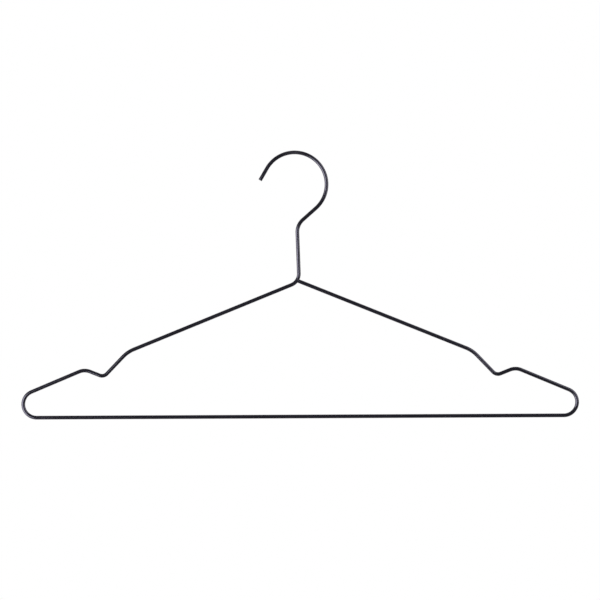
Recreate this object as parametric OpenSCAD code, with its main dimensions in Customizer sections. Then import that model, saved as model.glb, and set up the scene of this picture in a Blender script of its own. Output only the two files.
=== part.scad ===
// Clothes hanger with two strap notches and a bar for trousers.
// One round wire is bent in a flat frame and its end is butt welded to the foot of the neck.
// The origin is on the inside top of the hook, where the hanger bears on a rail.
// X runs along the trouser bar, Y runs along the rail and Z is up.

/* [Wire] */
// Diameter of the wire
wire_d = 3.0; // [2.4:0.1:3.2]
// Width of the chamfer round the cut end of the hook
tip_chamfer = 0.25; // [0.1:0.05:0.4]

/* [Frame] */
// Overall width, over the outside of both end loops
overall_w = 440; // [410:1:460]
// Fall of the shoulders below level, in degrees
shoulder_slope = 22; // [20:0.5:23]
// Straight length of a shoulder, from the crossing of the arms to the notch
shoulder_run = 141.2; // [130:0.1:145]
// Fall of the short run that leads down into a strap notch, in degrees
notch_slope = 46.2; // [42:0.1:50]
// Straight length of the run that leads down into a strap notch
notch_run = 18.3; // [15:0.1:20]
// Rise of the short run that leads out of a strap notch, in degrees
rise_slope = 21.7; // [18:0.1:25]
// Straight length of the run that leads out of a strap notch
rise_run = 8.1; // [6:0.1:10]
// Fall of the outer runs that end in the loops, in degrees
outer_slope = 22.7; // [20:0.1:24]

/* [Bends] */
// Bend radius between a shoulder and its notch, on the wire's centre line
shoulder_r = 25.4; // [15:0.1:30]
// Bend radius at the bottom of a strap notch
valley_r = 5.3; // [4:0.1:6]
// Bend radius over the crest outside a strap notch
crest_r = 11.5; // [8:0.1:13]
// Bend radius of the end loops
loop_r = 10.6; // [8:0.1:12]
// Bend radius at the foot of the neck, where it turns into the left shoulder
foot_r = 9.5; // [9:0.1:11]

/* [Hook] */
// Bend radius of the hook on the wire's centre line
hook_r = 25.2; // [20:0.1:28]
// Angle that the hook turns through, in degrees
hook_turn = 198.5; // [185:0.5:205]
// Straight length at the free end of the hook
tip_run = 10.8; // [6:0.1:14]
// Straight length between the hook and the top of the neck
offset_run = 13.7; // [8:0.1:16]
// Angle between the neck and that straight length, in degrees
offset_turn = 50.4; // [45:0.1:55]
// Bend radius at the top of the neck
offset_r = 12.9; // [8:0.1:14]
// Straight length of the neck
neck_run = 32.2; // [28:0.1:50]
// Lean of the neck from upright, towards the open side of the hook, in degrees
neck_lean = 1.8; // [0:0.1:3]
// Distance of the neck's foot from the middle of the frame, towards the open side
foot_offset = 0.4; // [0.3:0.1:1]

/* [Weld] */
// Distance of the right shoulder's cut end past the crossing of the arms
weld_setback = 0.3; // [0:0.1:0.3]
// Height of the weld above the wire where it meets the foot of the neck
weld_rise = 0.3; // [0.2:0.05:0.5]

/* [Hidden] */
$fn = 96;

coat = "#2b2930";
weld_coat = "#35333a";

// A place on the wire is [x, z, heading], with the heading in degrees up from +X.
// A bend turns to the left where its angle is positive.
function ahead(at, run) =
    [at[0] + run * cos(at[2]), at[1] + run * sin(at[2]), at[2]];
function turned(at, r, turn) =
    let (side = sign(turn), to = at[2] + turn)
    [at[0] + side * r * (sin(to) - sin(at[2])),
     at[1] - side * r * (cos(to) - cos(at[2])),
     to];
// Centre of the bend that starts at a place, with side 1 for a left turn and -1 for a right turn
function bend_centre(at, r, side) =
    [at[0] - side * r * sin(at[2]), at[1] + side * r * cos(at[2])];

// Turns of the side bends, each worked out from the two slopes that it joins
shoulder_turn = notch_slope - shoulder_slope;
valley_turn = notch_slope + rise_slope;
crest_turn = rise_slope + outer_slope;
loop_turn = 180 - outer_slope;

// Places along the right side, from the crossing of the two shoulders
crossing = [0, 0, -shoulder_slope];
shoulder_end = ahead(crossing, shoulder_run);
notch_start = turned(shoulder_end, shoulder_r, -shoulder_turn);
valley_start = ahead(notch_start, notch_run);
valley_end = turned(valley_start, valley_r, valley_turn);
crest_start = ahead(valley_end, rise_run);
crest_end = turned(crest_start, crest_r, -crest_turn);

// The outer run is as long as the overall width leaves it
loop_x = (overall_w - wire_d) / 2 - loop_r;
outer_run = (loop_x + loop_r * sin(outer_slope) - crest_end[0]) / cos(outer_slope);
loop_start = ahead(crest_end, outer_run);
bar_z = turned(loop_start, loop_r, -loop_turn)[1];

// Places up the neck and round the hook, from the end of the left shoulder
foot_turn = 90 + neck_lean - shoulder_slope;
foot_corner = [-foot_offset, -foot_offset * tan(shoulder_slope), shoulder_slope];
foot_tangent = foot_r * tan(foot_turn / 2);
foot_start = ahead(foot_corner, -foot_tangent);
neck_start = turned(foot_start, foot_r, foot_turn);
neck_end = ahead(neck_start, neck_run);
offset_start = turned(neck_end, offset_r, -offset_turn);
hook_start = ahead(offset_start, offset_run);
hook_end = turned(hook_start, hook_r, hook_turn);
left_shoulder_start = foot_tangent + foot_offset / cos(shoulder_slope);

// The hook bears on the rail at its inside top, straight above the centre of its bend
hook_centre = bend_centre(hook_start, hook_r, 1);
seat = [hook_centre[0], hook_centre[1] + hook_r - wire_d / 2];

// The weld fills the way from the shoulder's cut end to just short of the foot's centre line,
// and its toe is an arc that starts flush with the shoulder
weld_stop = 0.15;
toe_fn = 720;
foot_centre = bend_centre(foot_start, foot_r, 1);
weld_start = ahead(crossing, -weld_setback);
weld_reach = norm([weld_start[0] - foot_centre[0], weld_start[1] - foot_centre[1]]);
weld_run = weld_reach - foot_r - weld_stop;
toe_r = (pow(weld_run, 2) + pow(weld_rise, 2)) / (2 * weld_rise);

// Puts the flat frame where its bearing point on the rail is the origin
module on_rail() {
    translate([-seat[0], 0, -seat[1]])
        children();
}

// Turns +Z to the heading of a place on the wire and moves there
module from(at) {
    translate([at[0], 0, at[1]])
        rotate([0, 90 - at[2], 0])
            children();
}

// Straight stretch of wire
module straight(at, run) {
    from(at)
        cylinder(d = wire_d, h = run);
}

// Bent stretch of wire, a part of a ring
module bend(at, r, turn) {
    centre = bend_centre(at, r, sign(turn));
    begin = turn > 0 ? at[2] - 90 : at[2] + 90 + turn;
    translate([centre[0], 0, centre[1]])
        rotate([90, 0, 0])
            rotate([0, 0, begin])
                rotate_extrude(angle = abs(turn))
                    translate([r, 0])
                        circle(d = wire_d);
}

// The left side is the right side seen in a mirror
module side(left) {
    on_rail()
        mirror([left ? 1 : 0, 0, 0])
            children();
}

// Free end of the hook, cut square and chamfered
module hook_tip() {
    color(coat)
        on_rail()
            from(hook_end)
                rotate_extrude()
                    polygon([
                        [0, 0],
                        [wire_d / 2, 0],
                        [wire_d / 2, tip_run - tip_chamfer],
                        [wire_d / 2 - tip_chamfer, tip_run],
                        [0, tip_run]
                    ]);
}

// Round part of the hook, which goes over the rail
module hook_crown() {
    color(coat)
        on_rail()
            bend(hook_start, hook_r, hook_turn);
}

// Straight between the hook and the neck, which brings the hook over the middle of the frame
module hook_offset() {
    color(coat)
        on_rail()
            straight(offset_start, offset_run);
}

module neck_top() {
    color(coat)
        on_rail()
            bend(neck_end, offset_r, -offset_turn);
}

module neck() {
    color(coat)
        on_rail()
            straight(neck_start, neck_run);
}

module foot_bend() {
    bend(foot_start, foot_r, foot_turn);
}

// Foot of the neck, where it turns into the left shoulder and takes the weld
module neck_foot() {
    color(coat)
        on_rail()
            foot_bend();
}

// Straight shoulder that begins at a distance from the crossing of the arms
module shoulder(left, begin) {
    color(coat)
        side(left)
            straight(ahead(crossing, begin), shoulder_run - begin);
}

module shoulder_bend(left) {
    color(coat)
        side(left)
            bend(shoulder_end, shoulder_r, -shoulder_turn);
}

// The strap notch is a dip of two short runs, the bend between them and the crest outside them
module notch_entry(left) {
    color(coat)
        side(left)
            straight(notch_start, notch_run);
}

module notch_valley(left) {
    color(coat)
        side(left)
            bend(valley_start, valley_r, valley_turn);
}

module notch_exit(left) {
    color(coat)
        side(left)
            straight(valley_end, rise_run);
}

module notch_crest(left) {
    color(coat)
        side(left)
            bend(crest_start, crest_r, -crest_turn);
}

module outer_straight(left) {
    color(coat)
        side(left)
            straight(crest_end, outer_run);
}

// Loop that turns an outer run back into the trouser bar
module end_loop(left) {
    color(coat)
        side(left)
            bend(loop_start, loop_r, -loop_turn);
}

module trouser_bar() {
    color(coat)
        on_rail()
            straight([-loop_x, bar_z, 0], 2 * loop_x);
}

// Weld metal that grows from the shoulder's cut end into a toe round the foot of the neck
module weld_bead() {
    color(weld_coat)
        on_rail()
            difference() {
                from([weld_start[0], weld_start[1], 180 - shoulder_slope])
                    rotate_extrude()
                        difference() {
                            square([wire_d / 2 + weld_rise, weld_run]);
                            translate([wire_d / 2 + toe_r, 0])
                                circle(r = toe_r, $fn = toe_fn);
                        }
                foot_bend();
            }
}

hook_tip();
hook_crown();
hook_offset();
neck_top();
neck();
neck_foot();
shoulder(true, left_shoulder_start);  // left_shoulder
shoulder_bend(true);  // left_shoulder_bend
notch_entry(true);  // left_notch_entry
notch_valley(true);  // left_notch_valley
notch_exit(true);  // left_notch_exit
notch_crest(true);  // left_notch_crest
outer_straight(true);  // left_outer_run
end_loop(true);  // left_end_loop
trouser_bar();
end_loop(false);  // right_end_loop
outer_straight(false);  // right_outer_run
notch_crest(false);  // right_notch_crest
notch_exit(false);  // right_notch_exit
notch_valley(false);  // right_notch_valley
notch_entry(false);  // right_notch_entry
shoulder_bend(false);  // right_shoulder_bend
shoulder(false, -weld_setback);  // right_shoulder
weld_bead();
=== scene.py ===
import math

import bmesh
import bpy
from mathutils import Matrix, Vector


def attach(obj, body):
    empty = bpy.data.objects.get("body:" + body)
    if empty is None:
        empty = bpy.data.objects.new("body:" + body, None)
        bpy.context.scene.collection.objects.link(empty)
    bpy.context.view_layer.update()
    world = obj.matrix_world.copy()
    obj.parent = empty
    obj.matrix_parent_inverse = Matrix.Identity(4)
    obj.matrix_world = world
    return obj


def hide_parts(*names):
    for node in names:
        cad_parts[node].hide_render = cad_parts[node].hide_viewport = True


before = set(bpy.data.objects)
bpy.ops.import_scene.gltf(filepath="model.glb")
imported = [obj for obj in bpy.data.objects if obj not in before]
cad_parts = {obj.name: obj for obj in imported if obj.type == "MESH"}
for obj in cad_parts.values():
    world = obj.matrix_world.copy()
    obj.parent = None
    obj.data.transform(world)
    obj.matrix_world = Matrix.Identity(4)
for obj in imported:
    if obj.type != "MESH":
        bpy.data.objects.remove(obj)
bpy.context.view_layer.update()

MM = 0.001
BODY = "root"

# Wire and frame, in millimetres and degrees, as the solids have them
WIRE_R = 1.5
OVERALL_W = 440
FRAME_MIDDLE_X = 3.645
SHOULDER_SLOPE = 22
LOOP_R = 10.6

# Hook and neck: a bend is its turn and its radius
TIP_RUN = 10.8
TIP_HEADING = 59.9
TIP_CHAMFER = 0.25
HOOK_TURN = 198.5
HOOK_R = 25.2
OFFSET_RUN = 13.7
OFFSET_BEND = (50.4, 12.9)
NECK_RUN = 32.2
FOOT_TURN = 69.8
FOOT_R = 9.5
FOOT_OFFSET = 0.4

# Side runs: the notch, its bends and the outer run, from the shoulder outwards
SHOULDER_RUN = 141.2
SHOULDER_BEND = (24.2, 25.4)
NOTCH_RUN = 18.3
VALLEY_BEND = (67.9, 5.3)
RISE_RUN = 8.1
CREST_BEND = (44.4, 11.5)
LOOP_TURN = 157.3

# Weld: where it starts and stops, its rise at the foot, and how far its surface ripples
WELD_SETBACK = 0.3
WELD_STOP = 0.15
WELD_RISE = 0.3
WELD_FULLNESS = 0.92
RIPPLE = 0.012
RIPPLE_WAVES = 7
RIPPLE_PHASE = 1.3


def heading_vector(heading):
    a = math.radians(heading)
    return Vector((math.cos(a), 0.0, math.sin(a)))


def left_of(heading):
    return heading_vector(heading + 90)


def bend_centre(point, heading, turn, radius):
    """Centre of the bend that starts at a point with a heading."""
    return point + left_of(heading) * math.copysign(radius, turn)


def advance(point, heading, row, part=1.0):
    """Point and heading after part of a straight (run,) or of a bend (turn, radius)."""
    if len(row) == 1:
        return point + heading_vector(heading) * row[0] * part, heading
    turn, radius = row
    to = heading + turn * part
    centre = bend_centre(point, heading, turn, radius)
    return centre - left_of(to) * math.copysign(radius, turn), to


def run_to_loop():
    """Length of the outer run, which the overall width leaves between the crest and the end loop."""
    point, heading = Vector((0.0, 0.0, 0.0)), -SHOULDER_SLOPE
    rows = [
        (SHOULDER_RUN,),
        (-SHOULDER_BEND[0], SHOULDER_BEND[1]),
        (NOTCH_RUN,),
        VALLEY_BEND,
        (RISE_RUN,),
        (-CREST_BEND[0], CREST_BEND[1]),
    ]
    for row in rows:
        point, heading = advance(point, heading, row)
    slope = math.radians(-heading)
    return (BAR_RUN / 2 + LOOP_R * math.sin(slope) - point.x) / math.cos(slope)


BAR_RUN = OVERALL_W - 2 * WIRE_R - 2 * LOOP_R
OUTER_RUN = run_to_loop()
FOOT_TANGENT = FOOT_R * math.tan(math.radians(FOOT_TURN / 2))
LEFT_SHOULDER_START = FOOT_TANGENT + FOOT_OFFSET / math.cos(math.radians(SHOULDER_SLOPE))

# The whole wire in one walk, from the free end of the hook to the weld.
# A row is (node, run) for a straight stretch or (node, turn, radius) for a bend, left turns positive.
WALK = [
    ("hook_tip", TIP_RUN),
    ("hook_crown", -HOOK_TURN, HOOK_R),
    ("hook_offset", OFFSET_RUN),
    ("neck_top", *OFFSET_BEND),
    ("neck", NECK_RUN),
    ("neck_foot", -FOOT_TURN, FOOT_R),
    ("left_shoulder", SHOULDER_RUN - LEFT_SHOULDER_START),
    ("left_shoulder_bend", *SHOULDER_BEND),
    ("left_notch_entry", NOTCH_RUN),
    ("left_notch_valley", -VALLEY_BEND[0], VALLEY_BEND[1]),
    ("left_notch_exit", RISE_RUN),
    ("left_notch_crest", *CREST_BEND),
    ("left_outer_run", OUTER_RUN),
    ("left_end_loop", LOOP_TURN, LOOP_R),
    ("trouser_bar", BAR_RUN),
    ("right_end_loop", LOOP_TURN, LOOP_R),
    ("right_outer_run", OUTER_RUN),
    ("right_notch_crest", *CREST_BEND),
    ("right_notch_exit", RISE_RUN),
    ("right_notch_valley", -VALLEY_BEND[0], VALLEY_BEND[1]),
    ("right_notch_entry", NOTCH_RUN),
    ("right_shoulder_bend", *SHOULDER_BEND),
    ("right_shoulder", SHOULDER_RUN + WELD_SETBACK),
]

# Mesh density
SIDES = 32
BEND_STEP = 0.6
BEND_STEPS_LEAST = 6
STRAIGHT_STEP = 12.0
STRAIGHT_STEPS_LEAST = 2
TIP_ROUNDING_STEPS = 4
WELD_SIDES = 64
WELD_ROWS = 14
WELD_SEARCH_STEP = 0.02
SHARP_WIRE_ANGLE = 35
SHARP_WELD_ANGLE = 50

# Coat: its patterns for each metre, the lines' share in its tone, its relief, gloss and tint
LINES_SCALE = (90.0, 5200.0, 1.0)
DRIFT_SCALE = 28.0
LINES_SHARE = 0.35
BUMP_STRENGTH = 0.10
BUMP_DISTANCE = 0.00002
COAT_IOR = 1.5
COAT_SPECULAR = 1.0
COAT_TINT = (0.80, 0.775, 1.0, 1.0)
ROUGHER = 0.04
SMOOTHER = -0.02

# The rail rubs the coat within the first distance from the origin, in metres, and none past the second
RUBBED = (0.003, 0.010)
RUBBED_COLOUR = (0.035, 0.033, 0.040, 1.0)
RUBBED_POLISH = -0.08

# Photograph: where its middle lies on the object in millimetres, its scale and its roll
PHOTO_PX = 600
MM_PER_PX = 0.789
VIEW_CENTRE = (3.86, -114.98)
VIEW_ROLL = 0.258
CAMERA_DISTANCE = 1.5
SENSOR = 36.0

# Studio, in metres and watts. The floor fades into the backdrop between two distances from its middle.
FLOOR_Z = -0.62
FLOOR_RADIUS = 1.6
FLOOR_SIDES = 96
FLOOR_FADE = (0.45, 1.35)
FLOOR_GREYS = (0.84, 0.88)
FILL_STRENGTH = 0.3
BACKDROP_GLOSS = (0.09, 0.7)
BACKDROP_EDGE = (-0.1, 0.5)
WHITE = (1.0, 1.0, 1.0, 1.0)
LIGHT_TARGET = (FRAME_MIDDLE_X * MM, 0.0, -0.11)
LIGHTS = [
    ("left_softbox", (-1.05, -0.80, -0.40), (1.4, 1.5), 34.0),
    ("right_softbox", (1.10, -0.70, 0.30), (0.7, 1.5), 9.0),
]


def walk_wire():
    """Stations of every stretch of the wire: node -> list of (point, heading, length so far)."""
    rings = {}
    point = Vector((0.0, 0.0, 0.0))
    heading = TIP_HEADING
    length = 0.0
    for name, *row in WALK:
        straight = len(row) == 1
        run = row[0] if straight else math.radians(abs(row[0])) * row[1]
        if straight:
            steps = max(STRAIGHT_STEPS_LEAST, round(run / STRAIGHT_STEP))
        else:
            steps = max(BEND_STEPS_LEAST, round(run / BEND_STEP))
        if name == "hook_crown":
            hook_centre = bend_centre(point, heading, *row)
        rings[name] = [(*advance(point, heading, row, k / steps), length + run * k / steps)
                       for k in range(steps + 1)]
        point, heading, length = rings[name][-1]
    # The hook bears on the rail at the origin, straight above its own centre
    shift = Vector((0.0, 0.0, -(HOOK_R - WIRE_R))) - hook_centre
    return {name: [(p + shift, h, s) for p, h, s in rows] for name, rows in rings.items()}


def add_ring(bm, point, heading, radius):
    """One ring of vertices round the wire."""
    normal = left_of(heading)
    ring = []
    for k in range(SIDES):
        v = 2 * math.pi * k / SIDES
        offset = normal * math.cos(v) + Vector((0.0, 1.0, 0.0)) * math.sin(v)
        ring.append(bm.verts.new((point + offset * radius) * MM))
    return ring


def close_end(bm, ring, point, flip):
    """Flat end of the wire, a fan round its centre."""
    middle = bm.verts.new(point * MM)
    for k in range(SIDES):
        a, b = ring[k], ring[(k + 1) % SIDES]
        bm.faces.new((middle, b, a) if flip else (middle, a, b))


def finish_mesh(bm, name, material, sharp_angle):
    """Object at the origin from a bmesh, smooth except over sharp edges."""
    bmesh.ops.recalc_face_normals(bm, faces=bm.faces)
    for face in bm.faces:
        face.smooth = True
    for edge in bm.edges:
        if len(edge.link_faces) == 2:
            edge.smooth = edge.calc_face_angle() < math.radians(sharp_angle)
    mesh = bpy.data.meshes.new(name)
    bm.to_mesh(mesh)
    bm.free()
    mesh.materials.append(material)
    obj = bpy.data.objects.new(name, mesh)
    bpy.context.scene.collection.objects.link(obj)
    return obj


def wire_piece(node, stations, material):
    """Tube along the stations, with UVs in metres along and round the wire."""
    bm = bmesh.new()
    uv = bm.loops.layers.uv.new("wire")
    rows = [(p, h, s, WIRE_R) for p, h, s in stations]
    if node == "hook_tip":
        point, heading, length = stations[0]
        step_in = heading_vector(heading) * TIP_CHAMFER
        rows[0] = (point + step_in, heading, length + TIP_CHAMFER, WIRE_R)
        for k in range(1, TIP_ROUNDING_STEPS + 1):
            a = math.pi / 2 * k / TIP_ROUNDING_STEPS
            inset = TIP_CHAMFER * (1 - math.cos(a))
            depth = TIP_CHAMFER * (1 - math.sin(a))
            place = point + heading_vector(heading) * depth
            rows.insert(0, (place, heading, length + depth, WIRE_R - inset))
    rings = [add_ring(bm, p, h, r) for p, h, _, r in rows]
    round_mm = 2 * math.pi * WIRE_R
    for i in range(len(rings) - 1):
        for k in range(SIDES):
            n = (k + 1) % SIDES
            face = bm.faces.new((rings[i][k], rings[i][n], rings[i + 1][n], rings[i + 1][k]))
            us = (rows[i][2], rows[i][2], rows[i + 1][2], rows[i + 1][2])
            vs = (k, k + 1, k + 1, k)
            for loop, u, v in zip(face.loops, us, vs):
                loop[uv].uv = (u * MM, v / SIDES * round_mm * MM)
    close_end(bm, rings[0], rows[0][0], False)
    close_end(bm, rings[-1], rows[-1][0], True)
    obj = finish_mesh(bm, node + "_wire", material, SHARP_WIRE_ANGLE)
    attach(obj, BODY)
    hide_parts(node)
    return obj


def weld_piece(stations, material):
    """Weld that grows from the shoulder's cut end into a soft toe round the foot of the neck."""
    start, heading, _ = stations["right_shoulder"][-1]
    foot_point, foot_heading, _ = stations["neck_foot"][0]
    centre = bend_centre(foot_point, foot_heading, -FOOT_TURN, FOOT_R)
    along = heading_vector(heading)
    normal = left_of(heading)
    reach = (start - centre).length - FOOT_R - WELD_STOP
    toe_r = (reach ** 2 + WELD_RISE ** 2) / (2 * WELD_RISE)

    def inside_foot(p):
        flat = Vector((p.x - centre.x, 0.0, p.z - centre.z)).length - FOOT_R
        return math.hypot(flat, p.y) < WIRE_R - WELD_SEARCH_STEP

    def surface(v, t):
        rise = toe_r - math.sqrt(max(toe_r ** 2 - t ** 2, 0.0))
        ripple = RIPPLE * math.sin(RIPPLE_WAVES * v + RIPPLE_PHASE) * math.sin(math.pi * t / reach)
        out = normal * math.cos(v) + Vector((0.0, 1.0, 0.0)) * math.sin(v)
        return start + along * t + out * (WIRE_R + max(rise * WELD_FULLNESS + ripple - RIPPLE, 0.0))

    bm = bmesh.new()
    uv = bm.loops.layers.uv.new("wire")
    ends = []
    for k in range(WELD_SIDES):
        v = 2 * math.pi * k / WELD_SIDES
        t = 0.0
        while t < reach and not inside_foot(surface(v, t)):
            t += WELD_SEARCH_STEP
        ends.append(min(t, reach))
    rings = []
    for i in range(WELD_ROWS + 1):
        rings.append([bm.verts.new(surface(2 * math.pi * k / WELD_SIDES, ends[k] * i / WELD_ROWS) * MM)
                      for k in range(WELD_SIDES)])
    for i in range(WELD_ROWS):
        for k in range(WELD_SIDES):
            n = (k + 1) % WELD_SIDES
            face = bm.faces.new((rings[i][k], rings[i][n], rings[i + 1][n], rings[i + 1][k]))
            for loop, u, v in zip(face.loops, (i, i, i + 1, i + 1), (k, k + 1, k + 1, k)):
                loop[uv].uv = (u / WELD_ROWS * reach * MM, v / WELD_SIDES * 2 * math.pi * WIRE_R * MM)
    for ring, depth in ((rings[0], 0.0), (rings[-1], reach)):
        middle = bm.verts.new((start + along * depth) * MM)
        for k in range(WELD_SIDES):
            bm.faces.new((middle, ring[k], ring[(k + 1) % WELD_SIDES]))
    obj = finish_mesh(bm, "weld_bead_skin", material, SHARP_WELD_ANGLE)
    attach(obj, BODY)
    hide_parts("weld_bead")
    return obj


def coat_material(name, dark, light, rough, grain):
    """Satin black coat over drawn wire: fine lines along the wire, a soft peel and a rubbed seat."""
    mat = bpy.data.materials.new(name)
    mat.use_nodes = True
    nodes = mat.node_tree.nodes
    links = mat.node_tree.links
    shader = nodes["Principled BSDF"]
    shader.inputs["IOR"].default_value = COAT_IOR
    shader.inputs["Specular IOR Level"].default_value = COAT_SPECULAR
    shader.inputs["Specular Tint"].default_value = COAT_TINT

    uv = nodes.new("ShaderNodeUVMap")
    uv.uv_map = "wire"
    place = nodes.new("ShaderNodeTexCoord")

    # Lines left by drawing, long along the wire and narrow round it
    stretch = nodes.new("ShaderNodeMapping")
    stretch.inputs["Scale"].default_value = LINES_SCALE
    lines = nodes.new("ShaderNodeTexNoise")
    lines.inputs["Scale"].default_value = 1.0
    lines.inputs["Detail"].default_value = 4.0
    lines.inputs["Roughness"].default_value = 0.6
    links.new(uv.outputs["UV"], stretch.inputs["Vector"])
    links.new(stretch.outputs["Vector"], lines.inputs["Vector"])

    # Peel of the coat, about a third of a millimetre
    peel = nodes.new("ShaderNodeTexNoise")
    peel.inputs["Scale"].default_value = grain
    peel.inputs["Detail"].default_value = 3.0
    links.new(place.outputs["Object"], peel.inputs["Vector"])

    # Slow change of tone and gloss along the wire
    drift = nodes.new("ShaderNodeTexNoise")
    drift.inputs["Scale"].default_value = DRIFT_SCALE
    drift.inputs["Detail"].default_value = 2.0
    links.new(place.outputs["Object"], drift.inputs["Vector"])

    tone = nodes.new("ShaderNodeValToRGB")
    tone.color_ramp.elements[0].position = 0.35
    tone.color_ramp.elements[0].color = (*dark, 1.0)
    tone.color_ramp.elements[1].position = 0.68
    tone.color_ramp.elements[1].color = (*light, 1.0)
    mix = nodes.new("ShaderNodeMath")
    mix.operation = "MULTIPLY_ADD"
    mix.inputs[1].default_value = LINES_SHARE
    links.new(lines.outputs["Fac"], mix.inputs[0])
    rest = nodes.new("ShaderNodeMath")
    rest.operation = "MULTIPLY"
    rest.inputs[1].default_value = 1 - LINES_SHARE
    links.new(drift.outputs["Fac"], rest.inputs[0])
    links.new(rest.outputs[0], mix.inputs[2])
    links.new(mix.outputs[0], tone.inputs["Fac"])

    # The rail rubs and polishes the inside top of the hook
    seat = nodes.new("ShaderNodeVectorMath")
    seat.operation = "LENGTH"
    links.new(place.outputs["Object"], seat.inputs[0])
    rubbed = nodes.new("ShaderNodeMapRange")
    rubbed.inputs["From Min"].default_value = RUBBED[0]
    rubbed.inputs["From Max"].default_value = RUBBED[1]
    rubbed.inputs["To Min"].default_value = 1.0
    rubbed.inputs["To Max"].default_value = 0.0
    links.new(seat.outputs["Value"], rubbed.inputs["Value"])
    wear = nodes.new("ShaderNodeMix")
    wear.data_type = "RGBA"
    wear.inputs["B"].default_value = RUBBED_COLOUR
    worn = nodes.new("ShaderNodeMath")
    worn.operation = "MULTIPLY"
    links.new(rubbed.outputs["Result"], worn.inputs[0])
    links.new(lines.outputs["Fac"], worn.inputs[1])
    links.new(worn.outputs[0], wear.inputs["Factor"])
    links.new(tone.outputs["Color"], wear.inputs["A"])
    links.new(wear.outputs["Result"], shader.inputs["Base Color"])

    # Gloss follows the tone, and is highest where the rail polishes
    gloss = nodes.new("ShaderNodeMapRange")
    gloss.inputs["From Min"].default_value = 0.3
    gloss.inputs["From Max"].default_value = 0.7
    gloss.inputs["To Min"].default_value = rough + SMOOTHER
    gloss.inputs["To Max"].default_value = rough + ROUGHER
    links.new(mix.outputs[0], gloss.inputs["Value"])
    polish = nodes.new("ShaderNodeMath")
    polish.operation = "MULTIPLY_ADD"
    polish.inputs[1].default_value = RUBBED_POLISH
    links.new(rubbed.outputs["Result"], polish.inputs[0])
    links.new(gloss.outputs["Result"], polish.inputs[2])
    links.new(polish.outputs[0], shader.inputs["Roughness"])

    # Relief of the lines and the peel
    height = nodes.new("ShaderNodeMath")
    height.operation = "MULTIPLY_ADD"
    height.inputs[1].default_value = 0.5
    links.new(lines.outputs["Fac"], height.inputs[0])
    links.new(peel.outputs["Fac"], height.inputs[2])
    bump = nodes.new("ShaderNodeBump")
    bump.inputs["Strength"].default_value = BUMP_STRENGTH
    bump.inputs["Distance"].default_value = BUMP_DISTANCE
    links.new(height.outputs[0], bump.inputs["Height"])
    links.new(bump.outputs["Normal"], shader.inputs["Normal"])
    return mat


def floor_material():
    """Plain pale floor with a faint mottle, which fades into the white backdrop far from the object."""
    mat = bpy.data.materials.new("pale_floor")
    mat.use_nodes = True
    nodes = mat.node_tree.nodes
    links = mat.node_tree.links
    shader = nodes["Principled BSDF"]
    shader.inputs["Roughness"].default_value = 0.8
    noise = nodes.new("ShaderNodeTexNoise")
    noise.inputs["Scale"].default_value = 3.0
    ramp = nodes.new("ShaderNodeValToRGB")
    for stop, grey in zip(ramp.color_ramp.elements, FLOOR_GREYS):
        stop.color = (grey, grey, grey, 1.0)
    links.new(noise.outputs["Fac"], ramp.inputs["Fac"])
    links.new(ramp.outputs["Color"], shader.inputs["Base Color"])

    place = nodes.new("ShaderNodeTexCoord")
    reach = nodes.new("ShaderNodeVectorMath")
    reach.operation = "LENGTH"
    links.new(place.outputs["Object"], reach.inputs[0])
    fade = nodes.new("ShaderNodeMapRange")
    fade.interpolation_type = "SMOOTHSTEP"
    fade.inputs["From Min"].default_value = FLOOR_FADE[0]
    fade.inputs["From Max"].default_value = FLOOR_FADE[1]
    links.new(reach.outputs["Value"], fade.inputs["Value"])
    path = nodes.new("ShaderNodeLightPath")
    seen = nodes.new("ShaderNodeMath")
    seen.operation = "MULTIPLY"
    links.new(fade.outputs["Result"], seen.inputs[0])
    links.new(path.outputs["Is Camera Ray"], seen.inputs[1])
    backdrop = nodes.new("ShaderNodeEmission")
    backdrop.inputs["Color"].default_value = WHITE
    choose = nodes.new("ShaderNodeMixShader")
    links.new(seen.outputs[0], choose.inputs["Fac"])
    links.new(shader.outputs["BSDF"], choose.inputs[1])
    links.new(backdrop.outputs["Emission"], choose.inputs[2])
    links.new(choose.outputs["Shader"], nodes["Material Output"].inputs["Surface"])
    return mat


def make_floor():
    bm = bmesh.new()
    bmesh.ops.create_circle(bm, cap_ends=True, radius=FLOOR_RADIUS, segments=FLOOR_SIDES)
    mesh = bpy.data.meshes.new("floor")
    bm.to_mesh(mesh)
    bm.free()
    mesh.materials.append(floor_material())
    obj = bpy.data.objects.new("floor", mesh)
    obj.location.z = FLOOR_Z
    # Gloss shows the backdrop of the world in its place, so the wire is as dark below as above
    obj.visible_glossy = False
    bpy.context.scene.collection.objects.link(obj)


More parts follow.
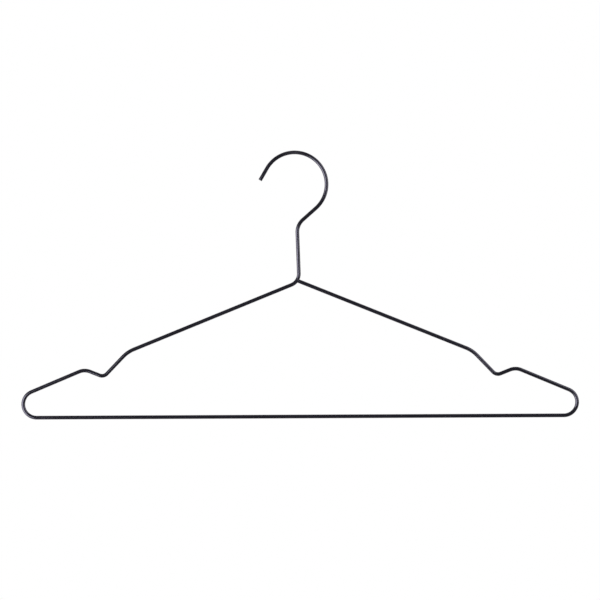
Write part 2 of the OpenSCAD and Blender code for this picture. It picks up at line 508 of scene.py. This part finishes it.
def make_world():
    """White behind the object, dimmer behind the camera, and a plain fill for the rest."""
    world = bpy.data.worlds.new("studio")
    bpy.context.scene.world = world
    world.use_nodes = True
    nodes = world.node_tree.nodes
    links = world.node_tree.links
    output = nodes["World Output"]
    fill = nodes["Background"]
    fill.inputs["Color"].default_value = WHITE
    fill.inputs["Strength"].default_value = FILL_STRENGTH
    seen = nodes.new("ShaderNodeBackground")
    seen.inputs["Color"].default_value = WHITE
    path = nodes.new("ShaderNodeLightPath")
    coords = nodes.new("ShaderNodeTexCoord")
    split = nodes.new("ShaderNodeSeparateXYZ")
    links.new(coords.outputs["Generated"], split.inputs[0])
    # Reflections see the white backdrop towards +Y and the dim room towards -Y
    backdrop = nodes.new("ShaderNodeMapRange")
    backdrop.interpolation_type = "SMOOTHSTEP"
    backdrop.inputs["From Min"].default_value = BACKDROP_EDGE[0]
    backdrop.inputs["From Max"].default_value = BACKDROP_EDGE[1]
    backdrop.inputs["To Min"].default_value = BACKDROP_GLOSS[0]
    backdrop.inputs["To Max"].default_value = BACKDROP_GLOSS[1]
    links.new(split.outputs["Y"], backdrop.inputs["Value"])
    level = nodes.new("ShaderNodeMath")
    level.operation = "MAXIMUM"
    links.new(backdrop.outputs["Result"], level.inputs[0])
    links.new(path.outputs["Is Camera Ray"], level.inputs[1])
    links.new(level.outputs[0], seen.inputs["Strength"])
    direct = nodes.new("ShaderNodeMath")
    direct.operation = "MAXIMUM"
    links.new(path.outputs["Is Camera Ray"], direct.inputs[0])
    links.new(path.outputs["Is Glossy Ray"], direct.inputs[1])
    either = nodes.new("ShaderNodeMath")
    either.operation = "MAXIMUM"
    links.new(direct.outputs[0], either.inputs[0])
    links.new(path.outputs["Is Transmission Ray"], either.inputs[1])
    choose = nodes.new("ShaderNodeMixShader")
    links.new(either.outputs[0], choose.inputs["Fac"])
    links.new(fill.outputs["Background"], choose.inputs[1])
    links.new(seen.outputs["Background"], choose.inputs[2])
    links.new(choose.outputs["Shader"], output.inputs["Surface"])


def area_light(name, place, size, watts):
    light = bpy.data.lights.new(name, "AREA")
    light.shape = "RECTANGLE"
    light.size, light.size_y = size
    light.energy = watts
    obj = bpy.data.objects.new(name, light)
    obj.location = place
    obj.rotation_euler = (Vector(LIGHT_TARGET) - Vector(place)).to_track_quat("-Z", "Y").to_euler()
    bpy.context.scene.collection.objects.link(obj)


def make_camera():
    """Straight front view with the photograph's framing."""
    cam = bpy.data.cameras.new("camera")
    cam.sensor_width = SENSOR
    cam.lens = SENSOR * CAMERA_DISTANCE / (PHOTO_PX * MM_PER_PX * MM)
    cam.clip_end = 20
    obj = bpy.data.objects.new("camera", cam)
    obj.location = (VIEW_CENTRE[0] * MM, -CAMERA_DISTANCE, VIEW_CENTRE[1] * MM)
    obj.rotation_euler = (math.pi / 2, math.radians(VIEW_ROLL), 0.0)
    bpy.context.scene.collection.objects.link(obj)
    bpy.context.scene.camera = obj


make_camera()
make_world()
make_floor()
for light in LIGHTS:
    area_light(*light)
bpy.context.scene.view_settings.view_transform = "Standard"

wire_coat = coat_material(
    "black_coat",
    dark=(0.0050, 0.0047, 0.0070), light=(0.0090, 0.0085, 0.0125),
    rough=0.21, grain=2600.0)
weld_coat = coat_material(
    "black_weld_coat",
    dark=(0.0062, 0.0058, 0.0084), light=(0.0124, 0.0116, 0.0162),
    rough=0.30, grain=3400.0)
wire = walk_wire()
for node, stations in wire.items():
    wire_piece(node, stations, wire_coat)
weld_piece(wire, weld_coat)
